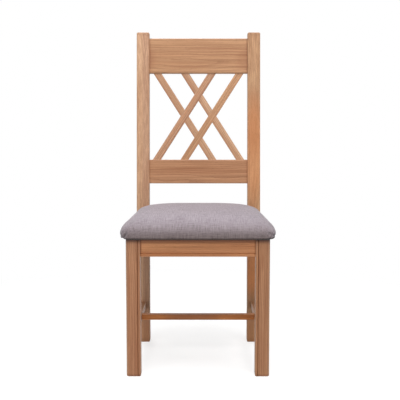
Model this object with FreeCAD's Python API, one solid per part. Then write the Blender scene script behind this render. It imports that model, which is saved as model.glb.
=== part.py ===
# Cross back dining chair: oak frame with a half-lapped lattice back and an upholstered seat.
# Millimetres. The front faces -Y, +X is to the right, +Z is up, and the floor is at Z 0.
import FreeCAD
import Part
import math
import os
from FreeCAD import Vector

# Whole frame
overall_height = 1038.8
front_width = 422.0         # over the outer faces of the front legs
rear_width = 412.0          # over the outer faces of the rear posts
frame_depth = 442.0         # front leg face to the back of the post at the floor
frame_top = 410.0           # top of the seat frame

# Legs and posts
leg_section = 42.0
post_width = 42.0
post_depth = 42.0
post_top_depth = 34.0
rake_angle = 5.9            # lean of the back from the vertical
bend_height = 430.0
bend_radius = 400.0
edge_ease = 3.0             # small rounding of the long edges
leg_corner_radius = 7.0     # outer front corner of a front leg
foot_chamfer = 2.5
post_top_chamfer = 2.8

# Quirk line cut down the front legs and along the front rail
quirk_width = 3.0
quirk_depth = 2.2
leg_quirk_inset = 8.0
rail_quirk_lift = 9.5

# Seat frame
seat_rail_height = 52.0
seat_rail_thickness = 22.0
front_rail_recess = 5.0
rear_rail_recess = 2.0
side_set_out = 2.0          # how far outside the post's centre a side member lands

# Tenons
tenon_thickness = 8.0
tenon_length = 18.0
tenon_shoulder = 7.0        # shoulder above and below a tenon
mortise_end_gap = 1.0       # glue room past the end of a tenon

# Stretchers
stretcher_top = 139.0
side_stretcher_height = 22.0
side_stretcher_thickness = 20.0
cross_stretcher_height = 18.2
cross_stretcher_thickness = 20.0
stretcher_tenon_length = 14.0
stretcher_ease = 2.0

# Back, measured along the raked posts
crest_height = 116.5
crest_drop = 18.8           # post top down to the crest rail
lower_rail_height = 79.3
lower_rail_lift = 108.7     # bend up to the lower back rail
back_rail_thickness = 22.0
back_rail_recess = 9.0
back_tenon_thickness = 10.0
back_tenon_length = 20.0
back_tenon_shoulder = 14.0

# Lattice of four half-lapped slats
slat_width = 22.5
slat_thickness = 14.0
slat_top_inset = 26.7       # post face to the centre of an outer slat at the crest rail
slat_bottom_inset = 24.5    # and at the lower rail
slat_top_offset = 45.0      # centreline to the centre of an inner slat at the crest rail
slat_bottom_offset = 46.8   # and at the lower rail
slat_housing = 9.0          # how deep a slat is let into a rail

# Upholstered seat
pad_front_overhang = 16.0
pad_front_bow = 6.0
pad_rear_gap = 3.0
pad_front_half_width = 231.0
pad_rear_half_width = 213.0
pad_height = 80.0
pad_crown_flatness = 2.9    # exponents of the crown's curve, from the edge to the middle
pad_crown_fullness = 1.76
pad_edge_height = 18.0      # bottom up to the widest line
pad_undercut = 9.0          # how far the underside pulls in from the widest line
pad_corner_radius = 34.0
pad_crown_rounding = 150.0  # how much rounder the corners are at the crown than at the edge
pad_corner_facets = 8       # flats that stand for the soft curve of a corner
pad_bow_facets = 6          # and of the bowed front
crown_steps = (0.98, 0.91, 0.77, 0.55, 0.28)   # share of the plan at each level of the crown
undercut_curve = 0.2        # share of the undercut that is left halfway up the edge
sewing_gap = 0.01
cover_thickness = 1.5
board_thickness = 12.0
board_inset = 13.0          # widest line of the pad in to the edge of the board
cover_return = 4.0          # how far the dust cover laps over the cover's raw edge
dust_cover_thickness = 0.8
dust_cover_margin = 3.0     # clear of the rails
dust_cover_corner = 36.0    # corner cut off beside the front legs

# Corner blocks and their fasteners
block_leg = 74.0
block_thickness = 24.0
block_drop = 3.0            # below the frame top, so that the screws pull the pad down
block_leg_clearance = 1.0
screw_diameter = 4.5
screw_head_diameter = 8.5
screw_head_height = 2.8
head_clearance = 0.5        # pocket round a screw head
rail_screw_place = 46.0     # corner of the frame along the block to a block screw
rail_screw_bite = 13.0      # length of a block screw inside the rail
rail_screw_wood = 14.0      # block left between the head and the rail
board_screw_bite = 9.0
staple_pitch = 55.0
staple_corner_gap = 15.0    # last staple of a side row to the rear row
staple_crown = 10.0
staple_wire = 0.8
staple_leg = 5.0
staple_edge = 9.0           # staple line in from the dust cover's edge
seat_screw_inset = 32.0     # from both rails in to a seat screw

# Sizes that follow from the ones above
rear_y = frame_depth - post_depth
rail_bottom = frame_top - seat_rail_height
front_centre = (front_width - leg_section) / 2
rear_centre = (rear_width - post_width) / 2 + side_set_out
post_inner = rear_width / 2 - post_width
leg_inner = front_width / 2 - leg_section
rake = math.radians(rake_angle)
post_length = (overall_height - bend_height) / math.cos(rake)
board_bottom = frame_top + cover_thickness


def box(x0, x1, y0, y1, z0, z1):
    return Part.makeBox(x1 - x0, y1 - y0, z1 - z0, Vector(x0, y0, z0))


def closed(points):
    return Part.makePolygon(points + [points[0]])


def prism(points, direction):
    return Part.Face(closed(points)).extrude(direction)


def mirrored(shape):
    return shape.mirror(Vector(0, 0, 0), Vector(1, 0, 0))


def edges_where(shape, test):
    """Edges whose two ends both pass the test."""
    return [e for e in shape.Edges if all(test(v.Point) for v in e.Vertexes)]


def long_edges(shape, axis, least):
    """Straight edges along one axis that are at least the given length."""
    found = []
    for edge in shape.Edges:
        if len(edge.Vertexes) != 2:
            continue
        span = edge.Vertexes[1].Point - edge.Vertexes[0].Point
        along = abs(getattr(span, axis))
        if along > least and abs(span.Length - along) < 1e-6:
            found.append(edge)
    return found


def near(value, target):
    return abs(value - target) < 1e-4


def to_back(shape):
    """Lean a shape, drawn upright above the bend, back with the posts."""
    leaned = shape.copy()
    leaned.rotate(Vector(0, rear_y, bend_height), Vector(1, 0, 0), -rake_angle)
    return leaned


# Legs and posts

def rear_post_right():
    top_front = (rear_y + post_length * math.sin(rake), overall_height)
    top_rear = (top_front[0] + post_top_depth * math.cos(rake),
                overall_height - post_top_depth * math.sin(rake))
    bend_rear = bend_height - post_depth * math.tan(rake / 2)
    profile = [(rear_y, 0), (rear_y, bend_height), top_front,
               top_rear, (frame_depth, bend_rear), (frame_depth, 0)]
    points = [Vector(post_inner, y, z) for y, z in profile]
    post = prism(points, Vector(post_width, 0, 0))
    bends = edges_where(post, lambda p: near(p.z, bend_height) or near(p.z, bend_rear))
    post = post.makeFillet(bend_radius, bends)
    post = post.makeFillet(edge_ease, [e for e in post.Edges if climbs(e)])
    top_rim = edges_where(post, lambda p: p.z > top_rear[1] - 1e-4)
    post = post.makeChamfer(post_top_chamfer, top_rim)
    return chamfer_foot(post)


def climbs(edge):
    """Whether an edge runs up the post rather than across it."""
    rise = edge.Vertexes[1].Point.z - edge.Vertexes[0].Point.z
    return abs(rise) > post_depth / 2


def chamfer_foot(shape):
    foot = edges_where(shape, lambda p: near(p.z, 0))
    return shape.makeChamfer(foot_chamfer, foot)


def quirk_across(length):
    """V cut, lying along Z, that opens towards -Y at the origin."""
    points = [Vector(-quirk_width / 2, 0, 0), Vector(quirk_width / 2, 0, 0), Vector(0, quirk_depth, 0)]
    return prism(points, Vector(0, 0, length))


def front_leg_right():
    outer = front_width / 2
    leg = box(leg_inner, outer, 0, leg_section, 0, frame_top)
    uprights = long_edges(leg, "z", leg_section)
    corner = [e for e in uprights if near(e.Vertexes[0].Point.x, outer) and near(e.Vertexes[0].Point.y, 0)]
    leg = leg.makeFillet(leg_corner_radius, corner)
    outer_line = outer - edge_ease
    others = [e for e in long_edges(leg, "z", leg_section)
              if near(e.Vertexes[0].Point.x, leg_inner) or
              (near(e.Vertexes[0].Point.y, leg_section) and e.Vertexes[0].Point.x > outer_line)]
    leg = leg.makeFillet(edge_ease, others)
    leg = chamfer_foot(leg)
    quirk = quirk_across(frame_top)
    quirk.translate(Vector(leg_inner + leg_quirk_inset, 0, 0))
    return leg.cut(quirk)


# Seat frame

def rail_tenon_z():
    return rail_bottom + tenon_shoulder, frame_top - tenon_shoulder


def cross_rail(half_length, y0, gap=0.0, body=True):
    """Rail across the chair with a tenon at each end; the gap lengthens the tenons only."""
    z0, z1 = rail_tenon_z()
    middle = y0 + seat_rail_thickness / 2
    reach = half_length + tenon_length + gap
    tenons = box(-reach, reach, middle - tenon_thickness / 2, middle + tenon_thickness / 2, z0, z1)
    if not body:
        return tenons
    rail = box(-half_length, half_length, y0, y0 + seat_rail_thickness, rail_bottom, frame_top)
    rail = rail.makeFillet(stretcher_ease, lower_edges(rail, rail_bottom))
    return rail.fuse(tenons).removeSplitter()


def lower_edges(shape, level):
    return [e for e in long_edges(shape, "x", seat_rail_thickness) if near(e.Vertexes[0].Point.z, level)]


def front_rail():
    rail = cross_rail(leg_inner, front_rail_recess)
    quirk = quirk_across(2 * leg_inner)
    quirk.rotate(Vector(0, 0, 0), Vector(0, 1, 0), 90)
    quirk.translate(Vector(-leg_inner, front_rail_recess, rail_bottom + rail_quirk_lift))
    return rail.cut(quirk)


def rear_rail_y():
    return rear_y + rear_rail_recess


def side_member(thickness, z0, z1, ease):
    """Right-hand rail or stretcher between the front leg and the rear post, its lower edges eased."""
    half = thickness / 2
    points = [Vector(front_centre - half, leg_section, z0), Vector(front_centre + half, leg_section, z0),
              Vector(rear_centre + half, rear_y, z0), Vector(rear_centre - half, rear_y, z0)]
    member = prism(points, Vector(0, 0, z1 - z0))
    return member.makeFillet(ease, runs_at(member, z0, thickness))


def runs_at(member, level, thickness):
    """Edges at one height that run from the front to the back."""
    edges = edges_where(member, lambda p: near(p.z, level))
    return [e for e in edges if abs(e.Vertexes[1].Point.y - e.Vertexes[0].Point.y) > thickness]


def side_tenons(length, thickness, z0, z1, gap=0.0):
    """Tenons of a right-hand side member, one into the leg and one into the post."""
    half = thickness / 2
    reach = length + gap
    front = box(front_centre - half, front_centre + half, leg_section - reach, leg_section, z0, z1)
    rear = box(rear_centre - half, rear_centre + half, rear_y, rear_y + reach, z0, z1)
    return [front, rear]


def side_rail_right():
    rail = side_member(seat_rail_thickness, rail_bottom, frame_top, stretcher_ease)
    z0, z1 = rail_tenon_z()
    return rail.multiFuse(side_tenons(tenon_length, tenon_thickness, z0, z1)).removeSplitter()


def side_inner_x(y, thickness):
    """Inner face of a right-hand side member at depth y."""
    share = (y - leg_section) / (rear_y - leg_section)
    return front_centre + (rear_centre - front_centre) * share - thickness / 2


# Stretchers

def side_stretcher_right():
    bottom = stretcher_top - side_stretcher_height
    stretcher = side_member(side_stretcher_thickness, bottom, stretcher_top, stretcher_ease)
    upper = runs_at(stretcher, stretcher_top, side_stretcher_thickness)
    stretcher = stretcher.makeFillet(stretcher_ease, upper)
    return stretcher.multiFuse(stretcher_tenons()).removeSplitter()


def stretcher_tenons(gap=0.0):
    bottom = stretcher_top - side_stretcher_height
    return side_tenons(stretcher_tenon_length, tenon_thickness, bottom + tenon_shoulder / 2,
                       stretcher_top - tenon_shoulder / 2, gap)


def cross_stretcher_y():
    return (leg_section + rear_y) / 2


def cross_stretcher(gap=0.0, body=True):
    middle = cross_stretcher_y()
    half = cross_stretcher_thickness / 2
    reach = side_inner_x(middle, side_stretcher_thickness)
    bottom = stretcher_top - cross_stretcher_height
    long = reach + side_stretcher_thickness / 2 + gap
    tenon = box(-long, long, middle - tenon_thickness / 2, middle + tenon_thickness / 2,
                bottom + tenon_shoulder / 2, stretcher_top - tenon_shoulder / 2)
    if not body:
        return tenon
    ends = [(side_inner_x(y, side_stretcher_thickness), y) for y in (middle - half, middle + half)]
    outline = ends + [(-x, y) for x, y in reversed(ends)]
    bar = prism([Vector(x, y, bottom) for x, y in outline], Vector(0, 0, cross_stretcher_height))
    bar = bar.makeFillet(stretcher_ease, long_edges(bar, "x", cross_stretcher_thickness))
    return bar.fuse(tenon).removeSplitter()


# Back, drawn upright from the bend and then leaned

def crest_bottom():
    return bend_height + post_length - crest_drop - crest_height


def lower_rail_top():
    return bend_height + lower_rail_lift + lower_rail_height


def back_rail(z0, height, gap=0.0, body=True):
    y0 = rear_y + back_rail_recess
    middle = y0 + back_rail_thickness / 2
    reach = post_inner + back_tenon_length + gap
    half = back_tenon_thickness / 2
    tenon = box(-reach, reach, middle - half, middle + half, z0 + back_tenon_shoulder,
                z0 + height - back_tenon_shoulder)
    if not body:
        return tenon
    rail = box(-post_inner, post_inner, y0, y0 + back_rail_thickness, z0, z0 + height)
    rail = rail.makeFillet(edge_ease, long_edges(rail, "x", height))
    return rail.fuse(tenon).removeSplitter()


def slat_band(x_top, x_bottom, y0, y1):
    """Slanting band between the two back rails, running into both housings."""
    z_low = lower_rail_top()
    z_high = crest_bottom()
    lean = (x_top - x_bottom) / (z_high - z_low)
    half = slat_width / 2 * math.sqrt(1 + lean * lean)
    start = x_bottom - lean * slat_housing
    end = x_top + lean * slat_housing
    points = [Vector(start - half, y0, z_low - slat_housing), Vector(start + half, y0, z_low - slat_housing),
              Vector(end + half, y0, z_high + slat_housing), Vector(end - half, y0, z_high + slat_housing)]
    return prism(points, Vector(0, y1 - y0, 0))


def slat_ends():
    """Top and bottom places of each slat's centre."""
    top_outer = post_inner - slat_top_inset
    top_inner = slat_top_offset
    low_outer = post_inner - slat_bottom_inset
    low_inner = slat_bottom_offset
    return {"falling_slat_left": (-top_outer, low_inner), "falling_slat_right": (-top_inner, low_outer),
            "rising_slat_left": (top_inner, -low_outer), "rising_slat_right": (top_outer, -low_inner)}


def slats():
    front = rear_y + back_rail_recess + (back_rail_thickness - slat_thickness) / 2
    middle = front + slat_thickness / 2
    back = front + slat_thickness
    ends = slat_ends()
    lapped = {}
    for name, (x_top, x_bottom) in ends.items():
        falling = name.startswith("falling")
        slat = slat_band(x_top, x_bottom, front, back)
        for other, (other_top, other_bottom) in ends.items():
            if other.startswith("falling") == falling:
                continue
            half = (middle, back) if falling else (front, middle)
            slat = slat.cut(slat_band(other_top, other_bottom, *half))
        lapped[name] = slat
    housings = [slat_band(x_top, x_bottom, front, back) for x_top, x_bottom in ends.values()]
    return lapped, housings


# Upholstered seat

def pad_edges(share, z, inset):
    """Outline of the pad at one height: a bowed front, straight sides and rounded corners."""
    radius = (pad_corner_radius + (1 - share) * pad_crown_rounding) * share - inset
    front = -pad_front_overhang
    rear = rear_y - pad_rear_gap
    centre = (front + rear) / 2
    y0 = centre - (centre - front) * share + inset
    y1 = centre + (rear - centre) * share - inset
    wide = pad_front_half_width * share - inset
    narrow = pad_rear_half_width * share - inset
    bow = pad_front_bow * share
    slope = (narrow - wide) / (y1 - y0)
    a = Vector(-(wide + slope * radius), y0 + radius, z)
    b = Vector(-(wide - radius), y0, z)
    c = Vector(-(narrow - radius), y1, z)
    d = Vector(-(narrow - slope * radius), y1 - radius, z)
    turn = radius * (1 - math.sqrt(0.5))
    front_mid = Vector(-(wide - turn), y0 + turn, z)
    rear_mid = Vector(-(narrow - turn), y1 - turn, z)

    def flip(p):
        return Vector(-p.x, p.y, p.z)

    return [Part.Arc(b, Vector(0, y0 - bow, z), flip(b)).toShape(),
            Part.Arc(flip(b), flip(front_mid), flip(a)).toShape(),
            Part.LineSegment(flip(a), flip(d)).toShape(),
            Part.Arc(flip(d), flip(rear_mid), flip(c)).toShape(),
            Part.LineSegment(flip(c), c).toShape(),
            Part.Arc(c, rear_mid, d).toShape(),
            Part.LineSegment(d, a).toShape(),
            Part.Arc(a, front_mid, b).toShape()]


def pad_outline(share, z, inset):
    """The same outline as points, set close together on its curves."""
    steps = [pad_bow_facets] + [pad_corner_facets, 1] * 3 + [pad_corner_facets]
    points = []
    for edge, count in zip(pad_edges(share, z, inset), steps):
        start = edge.FirstParameter
        step = (edge.LastParameter - start) / count
        points += [edge.valueAt(start + step * i) for i in range(count)]
    return points


def band(lower, upper):
    """Flat faces that join two outlines with the same number of points."""
    faces = []
    for i in range(len(lower)):
        j = (i + 1) % len(lower)
        faces.append(Part.Face(closed([lower[i], lower[j], upper[j]])))
        faces.append(Part.Face(closed([lower[i], upper[j], upper[i]])))
    return faces


def pad_sections(skin):
    """Outlines from the underside to the crown; skin is how far they lie inside the cover's face."""
    bottom = frame_top + skin
    widest = frame_top + pad_edge_height
    crown = frame_top + pad_height - skin - widest
    sections = [pad_outline(1, bottom, pad_undercut + skin),
                pad_outline(1, (bottom + widest) / 2, pad_undercut * undercut_curve + skin),
                pad_outline(1, widest, skin)]
    for share in crown_steps:
        rise = (1 - share ** pad_crown_flatness) ** (1 / pad_crown_fullness)
        sections.append(pad_outline(share, widest + crown * rise, skin))
    return sections


def pad_skin(skin):
    """Faces of the soft form, open below, with the outline of the opening."""
    sections = pad_sections(skin)
    faces = [Part.Face(closed(sections[-1]))]
    for lower, upper in zip(sections, sections[1:]):
        faces += band(lower, upper)
    return faces, closed(sections[0])


def sewn(faces):
    """Solid closed by the given faces."""
    shell = Part.Compound(faces)
    shell.sewShape(sewing_gap)
    solid = Part.Solid(shell.Shells[0] if shell.Shells else shell)
    if solid.Volume < 0:
        solid.reverse()
    return solid


def seat_cover():
    """Fabric shell, turned in under the board up to its raw edge."""
    outside, outer_rim = pad_skin(0)
    inside, inner_rim = pad_skin(cover_thickness)
    raw_edge = dust_cover_outline(dust_cover_margin + cover_return, frame_top)
    walls = raw_edge.extrude(Vector(0, 0, cover_thickness))
    upper_edge = dust_cover_outline(dust_cover_margin + cover_return, board_bottom)
    rims = [ring(outer_rim, raw_edge), ring(inner_rim, upper_edge)]
    return sewn(outside + inside + rims + walls.Faces)


def seat_foam():
    """Foam over the board and round its edge."""
    skin, rim = pad_skin(cover_thickness)
    board = seat_board()
    hollow = [f for f in board.Faces if f.CenterOfMass.z > board_bottom + 1e-6]
    return sewn(skin + hollow + [ring(rim, board_outline())])


def ring(outer, inner):
    return Part.Face([outer, inner])


def board_outline():
    return Part.Wire(pad_edges(1, board_bottom, board_inset))


def seat_board():
    return Part.Face(board_outline()).extrude(Vector(0, 0, board_thickness))


def dust_cover_outline(inset, z0):
    """Outline inside the rails, the inset measured in from their faces."""
    y0 = front_rail_recess + seat_rail_thickness + inset
    y1 = rear_y - pad_rear_gap - board_inset - inset
    x0 = side_inner_x(y0, seat_rail_thickness) - inset
    x1 = side_inner_x(y1, seat_rail_thickness) - inset
    cut = dust_cover_corner
    points = [Vector(-(x0 - cut), y0, z0), Vector(x0 - cut, y0, z0), Vector(x0, y0 + cut, z0),
              Vector(x1, y1, z0), Vector(-x1, y1, z0), Vector(-x0, y0 + cut, z0)]
    return closed(points)


# Corner blocks and fasteners

def block_corner(front):
    """Right-hand corner where a cross rail meets the side rail, with the way into the frame."""
    if front:
        y = front_rail_recess + seat_rail_thickness
        return y, 1, leg_section + block_leg_clearance, leg_inner - block_leg_clearance
    y = rear_rail_y()
    return y, -1, rear_y - block_leg_clearance, post_inner - block_leg_clearance


def corner_block(front):
    y, way, clear_y, clear_x = block_corner(front)
    z0 = frame_top - block_drop - block_thickness
    tip_y = y + way * block_leg
    tip_x = side_inner_x(y, seat_rail_thickness) - block_leg
    points = [Vector(tip_x, y, z0), Vector(clear_x, y, z0), Vector(clear_x, clear_y, z0),
              Vector(side_inner_x(clear_y, seat_rail_thickness), clear_y, z0),
              Vector(side_inner_x(tip_y, seat_rail_thickness), tip_y, z0)]
    return prism(points, Vector(0, 0, block_thickness))


def screw(length):
    """Flat round head at the origin, with its shank along +Z."""
    shank = Part.makeCylinder(screw_diameter / 2, length)
    head = Part.makeCylinder(screw_head_diameter / 2, screw_head_height, Vector(0, 0, -screw_head_height))
    return head.fuse(shank).removeSplitter()


def aimed(shape, place, direction):
    turned = shape.copy()
    turned.Placement = FreeCAD.Placement(place, FreeCAD.Rotation(Vector(0, 0, 1), direction))
    return turned


def head_pocket(place, direction):
    pocket = Part.makeCylinder(screw_head_diameter / 2 + head_clearance, block_leg)
    return aimed(pocket, place, direction * -1)


def block_screws_right(front):
    """Two screws of a right-hand block, one into each rail, with their head pockets."""
    y, way = block_corner(front)[:2]
    z = frame_top - block_drop - block_thickness / 2
    side_y = y + way * rail_screw_place
    side_x = side_inner_x(side_y, seat_rail_thickness) - rail_screw_wood
    cross_x = side_inner_x(y, seat_rail_thickness) - rail_screw_place
    cross_y = y + way * rail_screw_wood
    length = rail_screw_wood + rail_screw_bite
    aims = [(Vector(side_x, side_y, z), Vector(1, 0, 0)), (Vector(cross_x, cross_y, z), Vector(0, -way, 0))]
    return [aimed(screw(length), *aim) for aim in aims], [head_pocket(*aim) for aim in aims]


def seat_screw_right(front):
    y, way = block_corner(front)[:2]
    x = side_inner_x(y, seat_rail_thickness) - seat_screw_inset
    place = Vector(x, y + way * seat_screw_inset, frame_top - block_drop - block_thickness)
    length = board_bottom + board_screw_bite - place.z
    return aimed(screw(length), place, Vector(0, 0, 1))


def staples():
    """Staples round the dust cover, their crowns against its underside."""
    low = frame_top - dust_cover_thickness - staple_wire
    y0 = front_rail_recess + seat_rail_thickness + dust_cover_margin + staple_edge
    y1 = rear_y - pad_rear_gap - board_inset - dust_cover_margin - staple_edge
    corner = y0 + dust_cover_corner
    half_row = side_inner_x(y0, seat_rail_thickness) - dust_cover_margin - dust_cover_corner - staple_edge
    found = []
    for x in spread(-half_row, half_row):
        for y in (y0, y1):
            found.append(staple(Vector(x, y, low), False))
    for y in spread(corner, y1 - staple_corner_gap):
        x = side_inner_x(y, seat_rail_thickness) - dust_cover_margin - staple_edge
        for side in (-x, x):
            found.append(staple(Vector(side, y, low), True))
    return found


def spread(start, end):
    count = max(1, round((end - start) / staple_pitch))
    return [start + (end - start) * i / count for i in range(count + 1)]


def staple(middle, along_y):
    half = staple_crown / 2
    wire = staple_wire / 2
    crown = box(-half, half, -wire, wire, 0, staple_wire)
    top = board_bottom - frame_top + dust_cover_thickness + staple_wire + staple_leg
    legs = [box(side - wire, side + wire, -wire, wire, 0, top) for side in (-half + wire, half - wire)]
    bent = crown.multiFuse(legs).removeSplitter()
    if along_y:
        bent.rotate(Vector(0, 0, 0), Vector(0, 0, 1), 90)
    bent.translate(middle)
    return bent


def cut_all(shape, tools):
    return shape.cut(Part.makeCompound(tools))


def single(shape):
    """The one solid of a shape that should have only one."""
    if len(shape.Solids) != 1:
        raise ValueError("expected one solid, found %d" % len(shape.Solids))
    return shape.Solids[0]


def make_parts():
    parts = {}

    crest = back_rail(crest_bottom(), crest_height)
    lower_base = bend_height + lower_rail_lift
    lower = back_rail(lower_base, lower_rail_height)
    lapped, housings = slats()
    parts["crest_rail"] = to_back(cut_all(crest, housings))
    parts["lower_back_rail"] = to_back(cut_all(lower, housings))
    for name, slat in lapped.items():
        parts[name] = to_back(slat)

    z0, z1 = rail_tenon_z()
    rail_sockets = side_tenons(tenon_length, tenon_thickness, z0, z1, mortise_end_gap)
    stretcher_sockets = stretcher_tenons(mortise_end_gap)
    leg_sockets = rail_sockets + stretcher_sockets
    leg_sockets.append(cross_rail(leg_inner, front_rail_recess, mortise_end_gap, False))
    post_sockets = rail_sockets + stretcher_sockets
    post_sockets.append(cross_rail(post_inner, rear_rail_y(), mortise_end_gap, False))
    post_sockets.append(to_back(back_rail(crest_bottom(), crest_height, mortise_end_gap, False)))
    post_sockets.append(to_back(back_rail(lower_base, lower_rail_height, mortise_end_gap, False)))

    leg = single(cut_all(front_leg_right(), leg_sockets))
    post = single(cut_all(rear_post_right(), post_sockets))
    stretcher = side_stretcher_right().cut(cross_stretcher(mortise_end_gap, False))
    parts["front_leg_right"] = leg
    parts["front_leg_left"] = mirrored(leg)
    parts["rear_post_right"] = post
    parts["rear_post_left"] = mirrored(post)
    parts["side_stretcher_right"] = single(stretcher)
    parts["side_stretcher_left"] = mirrored(single(stretcher))
    parts["cross_stretcher"] = cross_stretcher()

    fixings = []
    pockets = []
    seat_fixings = []
    blocks = {}
    for name, front in (("front", True), ("rear", False)):
        pair, holes = block_screws_right(front)
        upright = seat_screw_right(front)
        fixings += pair + [mirrored(s) for s in pair]
        seat_fixings += [upright, mirrored(upright)]
        pockets += holes
        block = cut_all(corner_block(front), pair + holes + [upright]).removeSplitter()
        blocks[name] = single(block)
    for name, block in blocks.items():
        parts["corner_block_%s_right" % name] = block
        parts["corner_block_%s_left" % name] = mirrored(block)

    side = single(cut_all(side_rail_right(), fixings))
    parts["side_seat_rail_right"] = side
    parts["side_seat_rail_left"] = mirrored(side)
    parts["front_seat_rail"] = single(cut_all(front_rail(), fixings))
    parts["rear_seat_rail"] = single(cut_all(cross_rail(post_inner, rear_rail_y()), fixings))
    parts["block_screws"] = Part.makeCompound(fixings)
    parts["seat_screws"] = Part.makeCompound(seat_fixings)

    wires = staples()
    cut_cloth = Part.Face(dust_cover_outline(dust_cover_margin, frame_top))
    sheet = cut_cloth.extrude(Vector(0, 0, -dust_cover_thickness))
    parts["seat_cover"] = seat_cover()
    parts["seat_foam"] = seat_foam()
    parts["seat_board"] = single(cut_all(seat_board(), wires + seat_fixings))
    parts["dust_cover"] = single(cut_all(sheet, wires + seat_fixings))
    parts["dust_cover_staples"] = Part.makeCompound(wires)
    return parts


def centre_on_floor(parts):
    """Put the middle of the chair's box at X 0, Y 0: the pad's bowed front to the back of the post's top."""
    front = -pad_front_overhang - pad_front_bow
    rear = rear_y + post_length * math.sin(rake) + post_top_depth * math.cos(rake)
    for shape in parts.values():
        shape.translate(Vector(0, -(front + rear) / 2, 0))


chair = make_parts()
centre_on_floor(chair)
os.makedirs("parts", exist_ok=True)
for part_name, part_shape in chair.items():
    part_shape.exportStep("parts/%s.step" % part_name)
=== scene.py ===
import math

import bmesh
import bpy
from mathutils import Matrix, Vector, noise


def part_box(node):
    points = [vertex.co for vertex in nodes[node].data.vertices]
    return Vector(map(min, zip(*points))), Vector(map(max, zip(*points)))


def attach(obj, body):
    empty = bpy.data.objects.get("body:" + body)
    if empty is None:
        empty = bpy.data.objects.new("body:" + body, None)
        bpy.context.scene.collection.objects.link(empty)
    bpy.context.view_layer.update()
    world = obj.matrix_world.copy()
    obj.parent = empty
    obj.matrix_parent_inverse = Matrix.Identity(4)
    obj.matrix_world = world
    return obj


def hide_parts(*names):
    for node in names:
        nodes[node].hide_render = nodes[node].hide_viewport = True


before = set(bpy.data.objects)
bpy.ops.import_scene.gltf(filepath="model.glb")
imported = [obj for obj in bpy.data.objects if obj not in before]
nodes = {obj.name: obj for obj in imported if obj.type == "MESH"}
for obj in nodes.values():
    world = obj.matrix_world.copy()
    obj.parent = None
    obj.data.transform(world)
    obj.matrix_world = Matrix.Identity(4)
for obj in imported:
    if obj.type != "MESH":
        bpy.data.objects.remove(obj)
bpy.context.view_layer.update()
print("frame loaded:", len(nodes), "CAD nodes")


class Value:
    # wraps a socket, so that a sum or a product of values adds its Math nodes
    def __init__(self, finish, socket):
        self.finish = finish
        self.socket = socket

    def math(self, operation, *values):
        return self.finish.math(operation, *values)

    def __add__(self, other):
        return self.math("ADD", self, other)

    def __radd__(self, other):
        return self.math("ADD", other, self)

    def __sub__(self, other):
        return self.math("SUBTRACT", self, other)

    def __rsub__(self, other):
        return self.math("SUBTRACT", other, self)

    def __mul__(self, other):
        return self.math("MULTIPLY", self, other)

    def __rmul__(self, other):
        return self.math("MULTIPLY", other, self)

    def __truediv__(self, other):
        return self.math("DIVIDE", self, other)

    def __pow__(self, other):
        return self.math("POWER", self, other)

    def fraction(self):
        return self.math("FRACT", self)

    def size(self):
        return self.math("ABSOLUTE", self)

    def wave(self):
        return self.math("SINE", self)

    def ramp(self, low, high):
        # 0 below low and 1 above high, smooth between them; low may be the larger
        return self.finish.node("ShaderNodeMapRange", {"interpolation_type": "SMOOTHSTEP"},
                                {"Value": self, "From Min": low, "From Max": high})


class Finish:
    # one material, or the world, built by adding nodes to it
    def __init__(self, name, holder=None):
        self.material = holder or bpy.data.materials.new(name)
        self.material.use_nodes = True
        self.tree = self.material.node_tree
        self.tree.nodes.clear()

    def node(self, kind, settings, values, output=0):
        made = self.tree.nodes.new(kind)
        for name, setting in settings.items():
            setattr(made, name, setting)
        for name, value in values.items():
            if isinstance(value, Value):
                self.tree.links.new(value.socket, made.inputs[name])
            else:
                made.inputs[name].default_value = value
        return Value(self, made.outputs[output])

    def blend(self, share, first, second):
        return self.node("ShaderNodeMix", {"data_type": "RGBA"}, {0: share, 6: first, 7: second}, 2)

    def darken(self, share, colour, by):
        return self.node("ShaderNodeMix", {"data_type": "RGBA", "blend_type": "MULTIPLY"},
                         {0: share, 6: colour, 7: by}, 2)

    def stretch(self, vector, scale):
        return self.node("ShaderNodeVectorMath", {"operation": "MULTIPLY"}, {0: vector, 1: scale})

    def cloud(self, vector, detail=2.0, roughness=0.5):
        return self.node("ShaderNodeTexNoise", {}, {"Vector": vector, "Scale": 1.0, "Detail": detail,
                                                    "Roughness": roughness})

    def parts(self, vector):
        made = self.node("ShaderNodeSeparateXYZ", {}, {"Vector": vector})
        return [Value(self, socket) for socket in made.socket.node.outputs]

    def bump(self, height, strength, distance):
        return self.node("ShaderNodeBump", {}, {"Height": height, "Strength": strength, "Distance": distance})

    def seenRay(self):
        # 1 for what the camera sees, also in a gloss or through glass
        rays = self.node("ShaderNodeLightPath", {}, {}, "Is Camera Ray")
        outputs = rays.socket.node.outputs
        other = self.math("MAXIMUM", Value(self, outputs["Is Glossy Ray"]), Value(self, outputs["Is Transmission Ray"]))
        return self.math("MAXIMUM", rays, other)

    def math(self, operation, *values):
        return self.node("ShaderNodeMath", {"operation": operation}, dict(enumerate(values)))

    def shade(self, values):
        self.finish(self.node("ShaderNodeBsdfPrincipled", {}, values))
        return self.material

    def finish(self, shader, kind="ShaderNodeOutputMaterial"):
        out = self.tree.nodes.new(kind)
        self.tree.links.new(shader.socket, out.inputs["Surface"])


def colour(red, green, blue):
    # a colour as a picture program gives it, made linear
    def linear(level):
        level = level / 255
        return level / 12.92 if level <= 0.04045 else ((level + 0.055) / 1.055) ** 2.4
    return linear(red), linear(green), linear(blue), 1.0


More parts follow.
